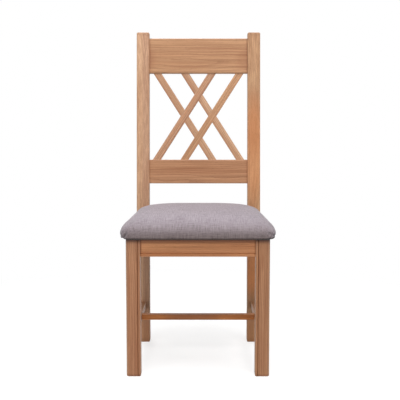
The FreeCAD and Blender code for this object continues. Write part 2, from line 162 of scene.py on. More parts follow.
oakLook = {
    "light": colour(230, 189, 153),
    "middle": colour(205, 157, 119),
    "dark": colour(140, 90, 55),
    # heartwood, also the colour of the painted shadows at the front rail's ends
    "heartAndShadow": colour(146, 88, 52),
    "amber": colour(212, 132, 72),
    "pore": colour(88, 52, 30),
    "ringWidth": 0.0046,
    "wander": 0.024,             # how far the rings stray from true circles
    "ripple": 0.0030,
    "drifts": (2.4, 9, 9),       # fineness of each pattern: along the grain, into the face and across it
    "ripples": (13, 60, 60),
    "streaks": (2.6, 210, 210),
    "fibres": (18, 520, 520),
    "pores": (95, 1500, 1500),
    "broad": (1.9, 30, 30),
    "flecks": (60, 60, 700),
    "streakShare": 0.40,
    "ringShare": 0.34,
    "fibreShare": 0.60,
    "fleckShare": 0.20,
    "poreShare": 0.42,
    "endGrain": 0.45,            # darkening of cut ends
    # painted highlight on the rounded arrises
    "arrisHighlight": 0.30,
    "quirkHalf": 0.0015,         # half the width of a quirk line
    "padShadow": colour(136, 112, 98),    # painted shadow of the pad on the wood just under it
    "padShadowBands": (0.017, 0.0035),         # and how far down it reaches
    "jointGrimeAndShade": colour(150, 112, 88),
    "seedStep": 3.7,             # along the grain, from one member's wood to the next
    "roughness": 0.46,
    "bump": 0.22,
}


def faceShare(f, facing, direction):
    return f.node("ShaderNodeVectorMath", {"operation": "DOT_PRODUCT"}, {0: facing, 1: direction}, "Value").size()


def oak(name, member, along, centre, reach):
    look = oakLook
    f = Finish(name)
    along = Vector(along).normalized()
    side = along.cross(Vector(member["face"])).normalized()
    face = side.cross(along)
    turn = Matrix((along, face, side))
    start = member["seed"] * look["seedStep"]
    shift = Vector((start, 0, 0)) - turn @ Vector(centre)
    where = f.node("ShaderNodeTexCoord", {}, {}, "Object")
    grain = f.node("ShaderNodeMapping", {}, {"Vector": where, "Location": shift, "Rotation": turn.to_euler()})
    run, depth, across = f.parts(grain)
    fromMiddle = (run - start, across, depth)
    tint = colour(*member["tint"])
    if "stave" in member:
        # glued up from two staves, each with its own grain and tone
        line, secondTint = member["stave"]
        second = across.ramp(line - 0.0003, line + 0.0003)
        grain = f.node("ShaderNodeVectorMath", {"operation": "MULTIPLY_ADD"},
                       {0: second, 1: (0.7, 0.02, 0.11), 2: grain})
        run, depth, across = f.parts(grain)
        tint = f.blend(second, tint, colour(*secondTint))

    # growth rings round the tree's centre, wandering slowly along the board
    ahead, beside = member["pith"]
    drift = f.cloud(f.stretch(grain, look["drifts"]), 2.0)
    ripple = f.cloud(f.stretch(grain, look["ripples"]), 2.0)
    out = depth - ahead
    off = across - beside
    radius = (out * out + off * off) ** 0.5
    radius = radius + (drift - 0.5) * look["wander"] + (ripple - 0.5) * look["ripple"]
    phase = (radius / look["ringWidth"]).fraction()
    early = (1 - phase) ** 2.2

    # long streaks, fine fibres, and the open pores that crowd the start of each ring
    streak = f.cloud(f.stretch(grain, look["streaks"]), 3.0, 0.6).ramp(0.33, 0.67)
    fibre = f.cloud(f.stretch(grain, look["fibres"]), 2.0)
    pores = f.cloud(f.stretch(grain, look["pores"]), 1.0).ramp(0.56, 0.70)
    pores = pores * (0.25 + early * 0.75)
    broad = f.cloud(f.stretch(grain, look["broad"]), 2.0).ramp(0.30, 0.70)
    fleck = f.cloud(f.stretch(grain, look["flecks"]), 1.0).ramp(0.66, 0.80)

    base = f.blend(broad * 0.75 + 0.05, look["light"], look["middle"])
    base = f.blend(streak * look["streakShare"], base, look["dark"])
    base = f.blend(early * (look["ringShare"] * member.get("figure", 1.0)), base, look["dark"])
    base = f.blend((fibre - 0.35) * look["fibreShare"], base, look["dark"])
    base = f.blend(fleck * look["fleckShare"], base, look["light"])
    base = f.darken(1.0, base, tint)
    for spot, halfLength, halfWidth, share, tone in member.get("marks", ()):
        # heartwood or amber wood along the grain for a stretch, and at the front rail's ends a painted shadow of the
        # legs; a slat's spots are given from its middle
        middle = turn @ (Vector(spot) if member["along"] is None else Vector(spot) - Vector(centre))
        first = (fromMiddle[0] - middle.x) / halfLength
        other = (fromMiddle[1] - middle.z + (drift - 0.5) * 0.006) / halfWidth
        base = f.blend((first * first + other * other).ramp(1.0, 0.1) * share, base, look[tone])
    base = f.blend(pores * look["poreShare"], base, look["pore"])

    # arrises get a painted highlight, cut ends drink more finish, and feet and joints are darkened by grime and painted
    # shade
    facing = f.node("ShaderNodeTexCoord", {}, {}, "Normal")
    endOn = faceShare(f, facing, along)
    flat = f.math("MAXIMUM", endOn, f.math("MAXIMUM", faceShare(f, facing, face), faceShare(f, facing, side)))
    arris = (1 - flat).ramp(0.03, 0.16)
    if "quirk" in member:
        # painted shade along the quirk line's groove
        half = look["quirkHalf"]
        quirkLine, quirkFace, share = member["quirk"]
        groove = (fromMiddle[1] - quirkLine).size().ramp(half + 0.0003, half - 0.0002)
        groove = groove * fromMiddle[2].ramp(quirkFace, quirkFace + 0.002)
        base = f.blend(groove * share, base, look["pore"])
        arris = arris * (1 - groove)
    # painted highlight along the arrises, kept off the quirk line
    base = f.blend(arris * look["arrisHighlight"], base, look["light"])
    base = f.blend(endOn.ramp(0.75, 0.95) * look["endGrain"], base, look["dark"])
    # grime and painted shade darken the ends at the joints and the feet
    grime = fromMiddle[0].size().ramp(reach - member["endShade"][0], reach) * member["endShade"][1]
    base = f.darken(grime + (broad - 0.5) * 0.1, base, look["jointGrimeAndShade"])
    # painted shadow of the pad on the wood just below it
    if member.get("underPad"):
        height = f.parts(where)[2]
        for reachDown in look["padShadowBands"]:
            base = f.darken(height.ramp(member["underPad"] - reachDown, member["underPad"]), base, look["padShadow"])

    relief = pores * -0.8 + fibre * 0.25 + early * -0.25 + streak * -0.15
    return f.shade({"Base Color": base, "Roughness": look["roughness"] + pores * 0.25 + (fibre - 0.5) * 0.12,
                    "Normal": f.bump(relief, look["bump"], 0.0006)})


slatLook = {
    "boxWider": 0.024,           # how much wider and deeper a slat's box is than its run from end to end
    "boxDeeper": 0.014,
}


def slatRun(name):
    # from the slat's lower end to its upper end
    low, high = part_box(name)
    width = high.x - low.x - slatLook["boxWider"]
    lean = high.y - low.y - slatLook["boxDeeper"]
    return Vector((-width if name.startswith("falling") else width, lean, high.z - low.z))


up, across, deep = (0, 0, 1), (1, 0, 0), (0, 1, 0)
toFront, toBack, toLeft, toRight = (0, -1, 0), (0, 1, 0), (-1, 0, 0), (1, 0, 0)
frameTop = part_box("front_seat_rail")[1].z
# along is the way of the grain, and None takes a slat's own run; face is the way that its show side looks
# pith is how far the tree's centre lies from the member's middle, out of that side and beside it
# stave is where a second one is glued on, and its tint; underPad is the height of the pad's underside, below which its
# shadow is painted
# quirk is the line's place across, how far out it begins and how dark its painted shade is
# endShade is how far grime and painted shade reach from each end and how strong they are, and figure strengthens the
# rings
# marks are stretches of other wood, and at the front rail's ends a painted shadow: middle, half length, half width,
# share and tone
members = {
    "rear_post_left": {"along": up, "face": toFront, "seed": 1, "pith": (0.05, 0.08),
                       "tint": (255, 255, 255), "endShade": (0.02, 0.2),
                       "stave": (-0.001, (236, 230, 231)),
                       "marks": [((-0.1850, 0.2, 0.030), 0.080, 0.060, 0.35, "amber")]},
    "rear_post_right": {"along": up, "face": toFront, "seed": 2, "pith": (0.06, -0.07),
                        "tint": (238, 234, 222), "endShade": (0.02, 0.2),
                        "marks": [((0.1900, 0.2, 0.745), 0.150, 0.040, 0.42, "heartAndShadow"),
                                  ((0.1850, 0.2, 0.640), 0.230, 0.045, 0.45, "amber"),
                                  ((0.1850, 0.2, 0.210), 0.100, 0.060, 0.30, "heartAndShadow"),
                                  ((0.1850, 0.2, 0.030), 0.080, 0.060, 0.35, "amber"),
                                  ((0.1850, 0.2, 0.260), 0.120, 0.060, 0.75, "amber"),
                                  ((0.1700, 0.2, 0.600), 0.160, 0.003, 0.30, "heartAndShadow")]},
    "front_leg_left": {"along": up, "face": toFront, "underPad": frameTop, "quirk": (0.0130, 0.015, 0.18),
                       "seed": 3, "pith": (0.05, 0.045),
                       "tint": (227, 204, 188), "endShade": (0.012, 0.5),
                       "figure": 1.5, "marks": [((-0.1815, -0.237, 0.060), 0.085, 0.007, 0.40, "heartAndShadow"),
                                                ((-0.2000, -0.237, 0.250), 0.100, 0.003, 0.30, "heartAndShadow")]},
    "front_leg_right": {"along": up, "face": toFront, "underPad": frameTop, "quirk": (-0.0130, 0.015, 0.18),
                        "seed": 4, "pith": (0.05, -0.05),
                        "tint": (221, 199, 179), "endShade": (0.012, 0.5),
                        "figure": 1.5, "marks": [((0.1801, -0.237, 0.324), 0.060, 0.0030, 0.75, "heartAndShadow"),
                                                 ((0.1902, -0.237, 0.342), 0.035, 0.0050, 0.40, "heartAndShadow"),
                                                 ((0.1880, -0.237, 0.070), 0.090, 0.0170, 0.30, "heartAndShadow"),
                                                 ((0.1960, -0.237, 0.200), 0.120, 0.0025, 0.30, "heartAndShadow")]},
    "crest_rail": {"along": across, "face": toFront, "seed": 5, "pith": (0.07, 0.01),
                   "tint": (225, 210, 190), "endShade": (0.035, 0.5),
                   "marks": [((-0.180, 0.23, 0.950), 0.045, 0.050, 0.42, "heartAndShadow"),
                             ((0.165, 0.23, 0.945), 0.050, 0.050, 0.32, "heartAndShadow"),
                             ((-0.03, 0.23, 0.925), 0.090, 0.004, 0.35, "heartAndShadow"),
                             ((0.05, 0.23, 0.985), 0.110, 0.004, 0.30, "heartAndShadow")]},
    "lower_back_rail": {"along": across, "face": toFront, "seed": 6, "pith": (0.08, 0.03),
                        "tint": (222, 202, 184), "endShade": (0.03, 0.3),
                        "marks": [((0.0, 0.19, 0.578), 0.300, 0.012, 0.22, "heartAndShadow"),
                                  ((-0.06, 0.19, 0.586), 0.090, 0.003, 0.40, "heartAndShadow")]},
    "front_seat_rail": {"along": across, "face": toFront, "underPad": frameTop, "quirk": (0.0165, 0.006, 0.0),
                        "seed": 7, "pith": (0.06, 0.10),
                        "tint": (252, 218, 185), "endShade": (0.02, 0.3),
                        # the first two marks are the legs' painted shadows on the rail's recessed ends
                        "marks": [((-0.1695, -0.23, 0.384), 0.0065, 0.060, 0.80, "heartAndShadow"),
                                  ((0.1695, -0.23, 0.384), 0.0065, 0.060, 0.40, "heartAndShadow"),
                                  ((-0.05, -0.23, 0.386), 0.120, 0.0025, 0.35, "heartAndShadow"),
                                  ((0.09, -0.23, 0.396), 0.080, 0.0020, 0.30, "heartAndShadow")]},
    "rear_seat_rail": {"along": across, "face": toBack, "underPad": frameTop, "seed": 8, "pith": (0.08, 0.02),
                       "tint": (225, 203, 186), "endShade": (0.02, 0.3)},
    "side_seat_rail_left": {"along": deep, "face": toLeft, "underPad": frameTop, "seed": 9, "pith": (0.07, 0.02),
                            "tint": (225, 203, 186), "endShade": (0.02, 0.3)},
    "side_seat_rail_right": {"along": deep, "face": toRight, "underPad": frameTop, "seed": 10, "pith": (0.07, -0.02),
                             "tint": (225, 203, 186), "endShade": (0.02, 0.3)},
    "side_stretcher_left": {"along": deep, "face": toLeft, "seed": 11, "pith": (0.05, 0.04),
                            "tint": (225, 203, 186), "endShade": (0.02, 0.3)},
    "side_stretcher_right": {"along": deep, "face": toRight, "seed": 12, "pith": (0.05, -0.04),
                             "tint": (225, 203, 186), "endShade": (0.02, 0.3)},
    "cross_stretcher": {"along": across, "face": toFront, "seed": 13, "pith": (0.05, 0.05),
                        "tint": (251, 198, 134), "endShade": (0.02, 0.3),
                        # a darker stretch in the middle of the stretcher
                        "marks": [((-0.022, -0.016, 0.13), 0.105, 0.040, 0.60, "heartAndShadow")]},
    "falling_slat_left": {"along": None, "face": toFront, "seed": 14, "pith": (0.04, 0.04),
                          "tint": (255, 255, 255), "endShade": (0.012, 0.4),
                          "figure": 1.5, "marks": [((-0.0070, 0, -0.0047), 0.260, 0.0032, 0.50, "heartAndShadow")]},
    "falling_slat_right": {"along": None, "face": toFront, "seed": 15, "pith": (0.04, -0.04),
                           "tint": (255, 255, 255), "endShade": (0.012, 0.4),
                           "figure": 1.5, "marks": [((-0.0700, 0, 0.1030), 0.080, 0.0200, 0.38, "heartAndShadow"),
                                                    ((-0.0070, 0, -0.0047), 0.260, 0.0022, 0.40, "heartAndShadow")]},
    "rising_slat_left": {"along": None, "face": toFront, "seed": 16, "pith": (0.04, 0.04),
                         "tint": (233, 223, 220), "endShade": (0.012, 0.4),
                         "figure": 1.5, "marks": [((0.0070, 0, -0.0047), 0.260, 0.0030, 0.35, "heartAndShadow"),
                                                  ((-0.0030, 0, 0.0020), 0.200, 0.0025, 0.25, "amber")]},
    "rising_slat_right": {"along": None, "face": toFront, "seed": 17, "pith": (0.04, -0.04),
                          "tint": (241, 231, 218), "endShade": (0.012, 0.4),
                          "figure": 1.5, "marks": [((0.0070, 0, -0.0047), 0.260, 0.0035, 0.45, "heartAndShadow")]},
}


def meshData(name, mesh):
    # a bmesh as a mesh of that name
    data = bpy.data.meshes.new(name)
    mesh.to_mesh(data)
    mesh.free()
    return data


def addPiece(name, data):
    piece = bpy.data.objects.new(name, data)
    bpy.context.scene.collection.objects.link(piece)
    return piece


twins = {"rising_slat_right": "falling_slat_left", "rising_slat_left": "falling_slat_right",
         "falling_slat_left": "rising_slat_right", "falling_slat_right": "rising_slat_left"}


def mirrorTwin(name, twin):
    # a slat as the mirror image of the one that leans the other way, which turns its laps round
    mesh = bmesh.new()
    mesh.from_mesh(nodes[twin].data)
    bmesh.ops.remove_doubles(mesh, verts=mesh.verts, dist=1e-6)
    bmesh.ops.scale(mesh, vec=(-1, 1, 1), verts=mesh.verts)
    bmesh.ops.reverse_faces(mesh, faces=mesh.faces)
    piece = addPiece("lapped_" + name, meshData(name, mesh))
    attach(piece, "root")
    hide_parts(name)
    return piece


def dress(name, material):
    # in the photo the rising slats pass in front, and in the solids the falling ones do
    piece = mirrorTwin(name, twins[name]) if name in twins else nodes[name]
    piece.data.materials.clear()
    piece.data.materials.append(material)


for name, member in members.items():
    along = Vector(member["along"] or slatRun(name))
    low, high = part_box(name)
    reach = along.length / 2 if member["along"] is None else abs((high - low).dot(along)) / 2
    dress(name, oak("oak " + name, member, along, (low + high) / 2, reach))
print("oak members dressed")


hiddenLook = {
    "block": (colour(205, 172, 128), colour(160, 122, 82)),
    "sawPitch": 0.00698,
    "ply": (colour(214, 184, 140), colour(178, 142, 98)),
    "glueLine": colour(170, 130, 95),
    "plyPitch": 0.0034,      # from one pair of plies to the next
}


def blockWood(look):
    f = Finish("sawn block wood")
    where = f.node("ShaderNodeTexCoord", {}, {}, "Object")
    streak = f.cloud(f.stretch(where, (12, 160, 160)), 3.0)
    saw = (f.parts(where)[0] * (2 * math.pi / look["sawPitch"]) + streak * 6).wave()
    base = f.blend(streak, *look["block"])
    return f.shade({"Base Color": base, "Roughness": 0.7 + streak * 0.1,
                    "Normal": f.bump(saw * 0.3 + streak, 0.3, 0.0005)})


def plywood(look):
    f = Finish("plywood")
    where = f.node("ShaderNodeTexCoord", {}, {}, "Object")
    streak = f.cloud(f.stretch(where, (8, 130, 130)), 3.0)
    ply = (f.parts(where)[2] * (2 * math.pi / look["plyPitch"])).wave().ramp(-0.3, 0.3)
    base = f.blend(streak, *look["ply"])
    base = f.darken(ply * 0.35, base, look["glueLine"])
    return f.shade({"Base Color": base, "Roughness": 0.75, "Normal": f.bump(streak, 0.2, 0.0004)})


def steel(name, light, dark, roughness):
    # bright metal that has dulled in clouds
    f = Finish(name)
    where = f.node("ShaderNodeTexCoord", {}, {}, "Object")
    grime = f.cloud(f.stretch(where, (220, 220, 220)), 3.0)
    base = f.blend(grime, light, dark)
    return f.shade({"Base Color": base, "Metallic": 1.0, "Roughness": roughness + grime * 0.2})


blocks = blockWood(hiddenLook)
for name in nodes:
    if name.startswith("corner_block"):
        dress(name, blocks)
dress("seat_board", plywood(hiddenLook))
print("blocks and board dressed")


cushionLook = {
    "frontHalf": 0.2322,
    "rearHalf": 0.2142,
    "frontY": -0.2545,
    "rearY": 0.1600,
    "bow": 0.0060,
    "bottom": 0.4102,
    "edgeHeight": 0.0182,    # bottom up to the widest line
    "crown": 0.0580,
    "flatness": 4.00,        # how late the crown starts to fall towards the edge
    "fullness": 2.00,
    "cornerRadius": 0.026,
    "crownRounding": 0.220,  # how much rounder the corners are at the crown than at the edge
    "undercut": 0.010,
    "voxel": 0.0045,
    "startInset": 0.0020,    # the form starts this much smaller and swells
    "pressure": 4.0,
    "frames": 20,
    "cap": 0.0025,           # farthest that a point may swell
    "stiffness": (15, 5, 0.6),   # against stretch, shear and bending
    "smoothing": 3,
}


def padOutline(look, share, inset):
    # rounded outline at one level, anticlockwise from the left end of the bowed front
    radius = max(0.004, (look["cornerRadius"] + (1 - share) * look["crownRounding"]) * share - inset)
    middle = (look["frontY"] + look["rearY"]) / 2
    front = middle - (middle - look["frontY"]) * share + inset
    rear = middle + (look["rearY"] - middle) * share - inset
    wide = look["frontHalf"] * share - inset
    narrow = look["rearHalf"] * share - inset
    points = []
    for i in range(24):
        x = (wide - radius) * (i / 12 - 1)
        points.append((x, front - look["bow"] * share * (1 - (i / 12 - 1) ** 2)))
    corners = ((1, wide, front + radius, -90), (1, narrow, rear - radius, 0),
               (-1, narrow, rear - radius, 90), (-1, wide, front + radius, 180))
    runs = (18, 18, 18, 0)
    for index, ((way, half, y, start), run) in enumerate(zip(corners, runs)):
        for i in range(12):
            turn = math.radians(start + 90 * i / 12)
            points.append((way * (half - radius) + radius * math.cos(turn), y + radius * math.sin(turn)))
        if run:
            nextWay, nextHalf, nextY = corners[index + 1][:3]
            turn = math.radians(start + 90)
            x0, y0 = way * (half - radius) + radius * math.cos(turn), y + radius * math.sin(turn)
            x1, y1 = nextWay * (nextHalf - radius) + radius * math.cos(turn), nextY + radius * math.sin(turn)
            points += [(x0 + (x1 - x0) * i / run, y0 + (y1 - y0) * i / run) for i in range(run)]
    return points


def cushionRings(look, inset):
    # outlines from the middle of the crown, over the edge and under to the middle of the base
    rings = []
    for step in range(1, 25):
        share = math.sin(math.pi / 2 * step / 24)
        rise = max(0.0, 1 - share ** look["flatness"]) ** (1 / look["fullness"])
        z = look["bottom"] + look["edgeHeight"] + (look["crown"] - inset) * rise
        rings.append((padOutline(look, share, inset), z))
    for step in range(1, 7):
        turn = math.pi / 2 * step / 6
        pull = look["undercut"] * (1 - math.cos(turn))
        z = look["bottom"] + look["edgeHeight"] * (1 - math.sin(turn))
        rings.append((padOutline(look, 1.0, inset + pull), z))
    for share in (0.93, 0.7, 0.4, 0.15):
        rings.append((padOutline(look, share, inset + look["undercut"]), look["bottom"]))
    return rings


def ringMesh(name, rings, tops):
    mesh = bmesh.new()
    rows = [[mesh.verts.new((x, y, z)) for x, y in points] for points, z in rings]
    sides = len(rows[0])
    for lower, upper in zip(rows, rows[1:]):
        for i in range(sides):
            j = (i + 1) % sides
            mesh.faces.new((lower[i], upper[i], upper[j], lower[j]))
    for row, z, flip in ((rows[0], tops[0], False), (rows[-1], tops[1], True)):
        middle = sum((v.co for v in row), Vector()) / sides
        middle.z = z
        centre = mesh.verts.new(middle)
        for i in range(sides):
            j = (i + 1) % sides
            corner = (row[j], row[i], centre) if flip else (row[i], row[j], centre)
            mesh.faces.new(corner)
    bmesh.ops.recalc_face_normals(mesh, faces=mesh.faces)
    return meshData(name, mesh)


def bake(piece):
    # the piece with its modifiers, as a plain mesh
    graph = bpy.context.evaluated_depsgraph_get()
    data = bpy.data.meshes.new_from_object(piece.evaluated_get(graph))
    piece.modifiers.clear()
    piece.data = data
    return piece


def swell(piece, look):
    # blow the cloth up a little, with its underside held flat
    rest = [v.co.copy() for v in piece.data.vertices]
    held = piece.vertex_groups.new(name="held")
    for i, point in enumerate(rest):
        lift = (point.z - look["bottom"]) / look["edgeHeight"]
        held.add([i], 1.0 if lift < 0.12 else max(0.0, 0.6 - lift), "REPLACE")
    cloth = piece.modifiers.new("cloth", "CLOTH")
    settings = cloth.settings
    settings.quality = 5
    settings.mass = 0.3
    stretch, shear, bending = look["stiffness"]
    settings.tension_stiffness = stretch
    settings.compression_stiffness = stretch
    settings.shear_stiffness = shear
    settings.bending_stiffness = bending
    settings.use_pressure = True
    settings.uniform_pressure_force = look["pressure"]
    settings.effector_weights.gravity = 0.0
    settings.vertex_group_mass = "held"
    cloth.collision_settings.use_collision = False
    scene = bpy.context.scene
    for step in range(1, look["frames"] + 1):
        scene.frame_set(step)
    graph = bpy.context.evaluated_depsgraph_get()
    blown = piece.evaluated_get(graph).to_mesh()
    moved = [v.co.copy() for v in blown.vertices]
    scene.frame_set(1)
    piece.modifiers.clear()
    travel = [(end - start).length for start, end in zip(rest, moved)]
    print("cushion swelled by %.1f mm, at most %.1f" % (1000 * sum(travel) / len(travel), 1000 * max(travel)))
    for vertex, start, end in zip(piece.data.vertices, rest, moved):
        step = end - start
        if step.length > look["cap"]:
            step = step.normalized() * look["cap"]
        vertex.co = start + step
    piece.vertex_groups.clear()


cornerFolds = [
    # where a fold starts and ends, how deep and how wide it is, and how dark its painted shade is
    ((-0.2066, -0.252, 0.4326), (-0.2196, -0.238, 0.4125), 0.0030, 0.0036, 0.55),
    ((-0.2140, -0.247, 0.4380), (-0.2300, -0.222, 0.4170), 0.0009, 0.0028, 0.30),
    ((0.2043, -0.254, 0.4330), (0.2310, -0.228, 0.4175), 0.0018, 0.0028, 0.40),
    ((0.1523, -0.255, 0.4208), (0.2249, -0.232, 0.4205), 0.0008, 0.0014, 0.55),
    ((0.1995, -0.243, 0.4130), (0.2264, -0.232, 0.4157), 0.0008, 0.0030, 0.95),
    ((-0.2020, 0.160, 0.4340), (-0.2120, 0.148, 0.4120), 0.0030, 0.0036, 0.50),
    ((0.2000, 0.161, 0.4360), (0.2125, 0.147, 0.4120), 0.0030, 0.0034, 0.50),
]


foldLook = {
    "depthShare": 0.2,       # how much of a place's depth counts
    "beyond": 0.18,          # folds lie farther out than this and lower than this
    "below": 0.46,
    "fadeIn": 0.3,           # share of a fold, before and after its start, over which it begins
    "darkWidth": 1.3,        # how much narrower the shade in a fold is than the fold
}


def seenFlat(place):
    # depth counts for little, so that a straight fold still follows the round of the pad
    return Vector((place[0], place[1] * foldLook["depthShare"], place[2]))


def foldCorners(piece, folds):
    # the cloth is pleated round each corner before it is stapled under the board
    creaseShades = piece.data.attributes.new("creaseShade", "FLOAT", "POINT")
    moves = []
    for vertex in piece.data.vertices:
        deepest = darkest = 0.0
        if abs(vertex.co.x) > foldLook["beyond"] and vertex.co.z < foldLook["below"]:
            for start, end, depth, width, dark in folds:
                here, start, end = seenFlat(vertex.co), seenFlat(start), seenFlat(end)
                run = end - start
                share = (here - start).dot(run) / run.length_squared
                gap = (here - (start + run * min(max(share, 0.0), 1.0))).length
                fade = min(1.0, max(0.0, foldLook["fadeIn"] + share) / foldLook["fadeIn"] / 2)
                deepest = max(deepest, depth * fade * math.exp(-(gap / width) ** 2))
                darkest = max(darkest, dark * fade * math.exp(-(gap / width * foldLook["darkWidth"]) ** 2))
        if deepest > 1e-5:
            moves.append((vertex.index, vertex.co - vertex.normal * deepest))
        # each point keeps the painted shade of its folds
        creaseShades.data[vertex.index].value = darkest
    for index, place in moves:
        piece.data.vertices[index].co = place


def makeCushion(look):
    rings = cushionRings(look, look["startInset"])
    tops = (look["bottom"] + look["edgeHeight"] + look["crown"] - look["startInset"], look["bottom"])
    piece = addPiece("seat_cushion", ringMesh("seat cushion", rings, tops))
    remesh = piece.modifiers.new("remesh", "REMESH")
    remesh.mode = "VOXEL"
    remesh.voxel_size = look["voxel"] * 1
    bake(piece)
    swell(piece, look)
    smooth = piece.modifiers.new("smooth", "SMOOTH")
    smooth.iterations = look["smoothing"]
    finer = piece.modifiers.new("finer", "SUBSURF")
    finer.levels = finer.render_levels = 1
    bake(piece)
    foldCorners(piece, cornerFolds)
    for face in piece.data.polygons:
        face.use_smooth = True
    return piece


linenLook = {
    "shade": colour(132, 121, 127),
    "middle": colour(172, 161, 169),
    "light": colour(202, 192, 200),
    "pitch": 0.0011,         # from one thread to the next
    "slubs": ((430, 26, 1), (30, 430, 1)),       # fineness of the warp's slubs, then of the weft's
    "fineSlubs": ((1300, 90, 1), (90, 1300, 1)),
    "cast": (9, 9, 1),
    "flatTop": 0.075,        # inwards from the widest line to where the cloth lies flat
    "overEdge": 0.030,       # it has bent to the vertical this far out from there
    "roughness": 0.88,
    "sheen": 0.25,
    "bump": 0.5,
    "lowerSideShade": colour(194, 185, 174),     # painted shade, darker down the sides
    "sideHeight": 0.068,
    "turnedUnderShade": colour(72, 50, 36),    # and painted shade where the cloth turns under the board
    "turnHeight": 0.0075,
    "creaseShade": colour(70, 60, 58),
}


def layWeave(piece, look):
    # threads run over the top and straight down each side, so the cloth lies as if cut from one flat piece
    low, high = Vector(piece.bound_box[0]), Vector(piece.bound_box[6])
    top = high.z
    inner = look["flatTop"]
    spread = piece.data.attributes.new("weave", "FLOAT_VECTOR", "POINT")
    for i, vertex in enumerate(piece.data.vertices):
        x, y, z = vertex.co
        u = min(max(x, low.x + inner), high.x - inner)
        v = min(max(y, low.y + inner), high.y - inner)
        away = Vector((x - u, y - v))
        if away.length > 1e-6:
            drop = (top - z) * min(1.0, away.length / look["overEdge"])
            away = away.normalized() * (away.length + drop)
        spread.data[i].vector = (u + away.x, v + away.y, 0.0)


def linen(name, look):
    f = Finish(name)
    cloth = f.node("ShaderNodeAttribute", {"attribute_name": "weave"}, {}, "Vector")
    u, v, flat = f.parts(cloth)
    # slubs: threads that are thicker and paler for a stretch, across and along
    warp, weft = [f.cloud(f.stretch(cloth, fineness), 2.0) for fineness in look["slubs"]]
    fineWarp, fineWeft = [f.cloud(f.stretch(cloth, fineness), 1.0) for fineness in look["fineSlubs"]]
    cast = f.cloud(f.stretch(cloth, look["cast"]), 2.0)
    slub = (warp + weft) * 0.5 + ((fineWarp + fineWeft) * 0.5 - 0.5) * 0.6 + (cast - 0.5) * 0.12
    # plain weave: each thread rises over one crossing and dips under the next
    turns = math.pi / look["pitch"]
    over = (u * turns).wave() * (v * turns).wave()
    thread = ((u * turns).wave().size() + (v * turns).wave().size()) * 0.5
    base = f.blend(slub.ramp(0.28, 0.52), look["shade"], look["middle"])
    base = f.blend(slub.ramp(0.48, 0.78), base, look["light"])
    base = f.blend((1 - thread).ramp(0.2, 0.9) * 0.35, base, look["shade"])
    height = f.parts(f.node("ShaderNodeTexCoord", {}, {}, "Object"))[2]
    facing = f.node("ShaderNodeTexCoord", {}, {}, "Normal")
    # painted shade: the sides darken downwards, less where they face left or right
    frontOn = 1 - faceShare(f, facing, across) * 0.8
    low = height.ramp(frameTop + look["sideHeight"], frameTop - 0.002)
    base = f.darken(low * frontOn, base, look["lowerSideShade"])
    # painted shade in the corner folds
    base = f.darken(f.node("ShaderNodeAttribute", {"attribute_name": "creaseShade"}, {}, "Fac"), base, look["creaseShade"])
    # painted shadow where the cloth turns under the board, just above the frame
    turned = height.ramp(frameTop + look["turnHeight"], frameTop + 0.001)
    base = f.darken(turned, base, look["turnedUnderShade"])
    relief = over * 0.5 + thread * 0.35 + slub * 0.9
    return f.shade({"Base Color": base, "Roughness": look["roughness"], "Sheen Weight": look["sheen"],
                    "Sheen Roughness": 0.5, "Specular IOR Level": 0.25,
                    "Normal": f.bump(relief, look["bump"], 0.0006)})


cushion = makeCushion(cushionLook)
layWeave(cushion, linenLook)
cushion.data.materials.append(linen("grey linen", linenLook))
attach(cushion, "root")
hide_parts("seat_cover", "seat_foam")
print("cushion made:", len(cushion.data.polygons), "faces")


dustLook = {
    "thickness": 0.0006,
    "cells": 44,
    "sag": 0.0003,
    "dark": colour(24, 24, 26),
    "light": colour(58, 58, 60),
    "fibres": (900, 900, 900),
}


def makeDustCover(look):
    low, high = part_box("dust_cover")
    plan = [v.co for v in nodes["dust_cover"].data.vertices]
    mesh = bmesh.new()
    frontY, rearY = low.y, high.y
    frontHalf = max(v.x for v in plan if v.y < frontY + 0.04)
    rearHalf = max(v.x for v in plan if v.y > rearY - 0.001)
    cornerX = max(v.x for v in plan if v.y < frontY + 0.0005)
    cornerY = frontY + (frontHalf - cornerX)
    rows = []
    for j in range(look["cells"] + 1):
        y = frontY + (rearY - frontY) * j / look["cells"]
        half = frontHalf + (rearHalf - frontHalf) * (y - frontY) / (rearY - frontY)
        half = min(half, cornerX + (y - frontY) / (cornerY - frontY) * (frontHalf - cornerX))
        row = []
        for i in range(look["cells"] + 1):
            x = half * (2 * i / look["cells"] - 1)
            z = high.z - 0.0002 - look["sag"] * (0.5 + 0.5 * noise.noise(Vector((x * 14, y * 14, 0))))
            row.append(mesh.verts.new((x, y, z)))
        rows.append(row)
    for lower, upper in zip(rows, rows[1:]):
        for i in range(look["cells"]):
            mesh.faces.new((lower[i + 1], lower[i], upper[i], upper[i + 1]))
    piece = addPiece("dust_cloth", meshData("dust cover", mesh))
    thick = piece.modifiers.new("thick", "SOLIDIFY")
    thick.thickness = look["thickness"]
    thick.offset = -1
    bake(piece)
    width, length = 2 * frontHalf, rearY - frontY
    lost = (frontHalf - cornerX) ** 2 + (frontHalf - rearHalf) * length
    return piece, (width, length), width * length - lost


def blackCloth(look):
    f = Finish("black dust cloth")
    where = f.node("ShaderNodeTexCoord", {}, {}, "Object")
    fibre = f.cloud(f.stretch(where, look["fibres"]), 3.0)
    base = f.blend(fibre, look["dark"], look["light"])
    return f.shade({"Base Color": base, "Roughness": 0.9, "Normal": f.bump(fibre, 0.4, 0.0004)})


dustCloth, clothFlat, clothArea = makeDustCover(dustLook)
dustCloth.data.materials.append(blackCloth(dustLook))
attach(dustCloth, "root")
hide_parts("dust_cover")
print("dust cover made")


